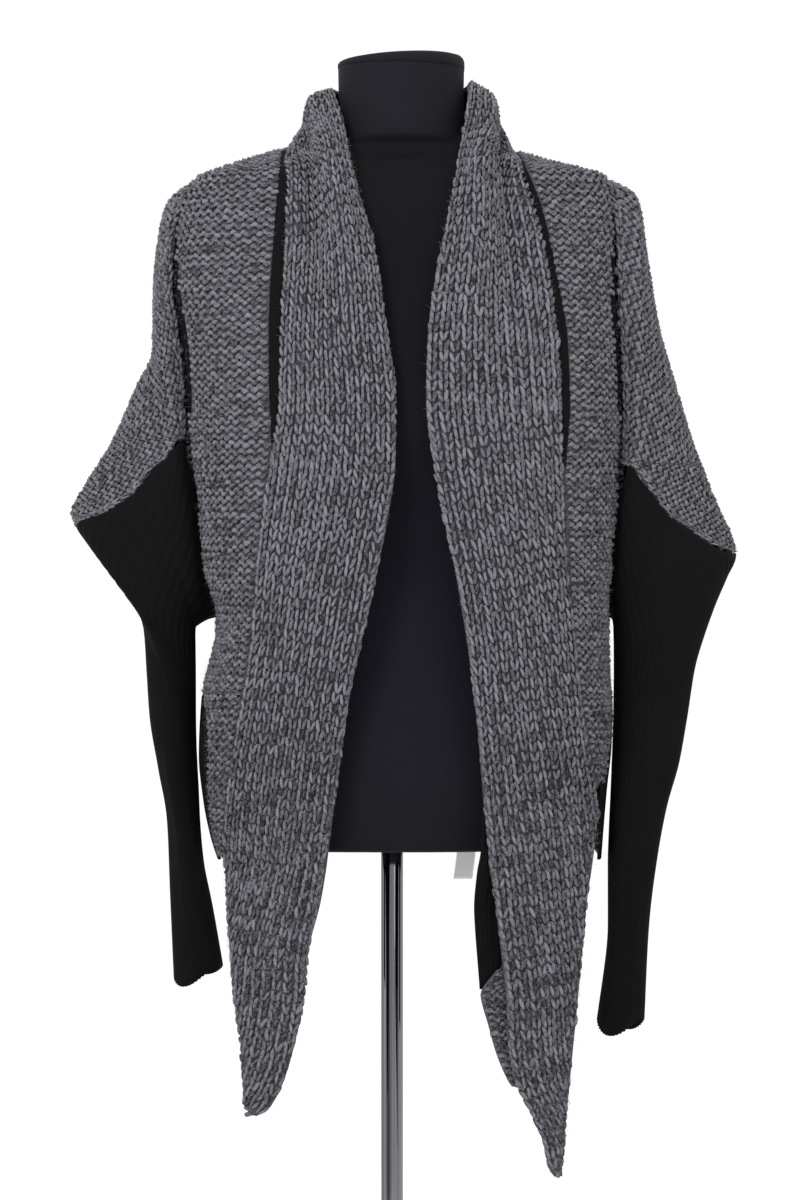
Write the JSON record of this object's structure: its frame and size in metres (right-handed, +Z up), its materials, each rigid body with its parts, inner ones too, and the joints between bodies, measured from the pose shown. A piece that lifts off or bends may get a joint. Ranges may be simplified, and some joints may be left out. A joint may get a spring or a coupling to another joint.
{
  "type": "open-front cardigan on a limbless dress form with a pole stand",
  "caption": "Open-front knitted cardigan with a long hanging front band, black rib sleeves and hem, shown on a black dress form with a pole stand.",
  "frame": {"origin": "centre of the base plate's underside, on the floor, under the form's pole", "axes": "+Z up, the cardigan's open front faces -Y, the wearer's left is +X"},
  "size_m": [0.58, 0.38, 1.4951],
  "materials": {
    "grey_marl_knit": "chunky grey marl knit, matt and slightly hairy",
    "black_rib_knit": "fine black rib knit, matt",
    "black_form_jersey": "stretched black jersey over padding, matt",
    "white_label_satin": "blank white satin ribbon",
    "polished_chrome": "polished",
    "satin_steel": "satin"
  },
  "bodies": {
    "root": {"back": "grey_marl_knit", "band_left": "grey_marl_knit", "band_right": "grey_marl_knit", "band_turnback_left": "grey_marl_knit", "base_collar": "satin_steel", "base_plate": "satin_steel", "care_label": "white_label_satin", "form_neck_cap": "black_form_jersey", "form_torso": "black_form_jersey", "front_left": "grey_marl_knit", "front_right": "grey_marl_knit", "hem_loose_end_left": "black_rib_knit", "hem_rib": "black_rib_knit", "pole": "polished_chrome", "sleeve_rib_left": "black_rib_knit", "sleeve_rib_right": "black_rib_knit", "sleeve_upper_left": "grey_marl_knit", "sleeve_upper_right": "grey_marl_knit", "trim_left": "black_rib_knit", "trim_right": "black_rib_knit"}
  },
  "joints": []
}
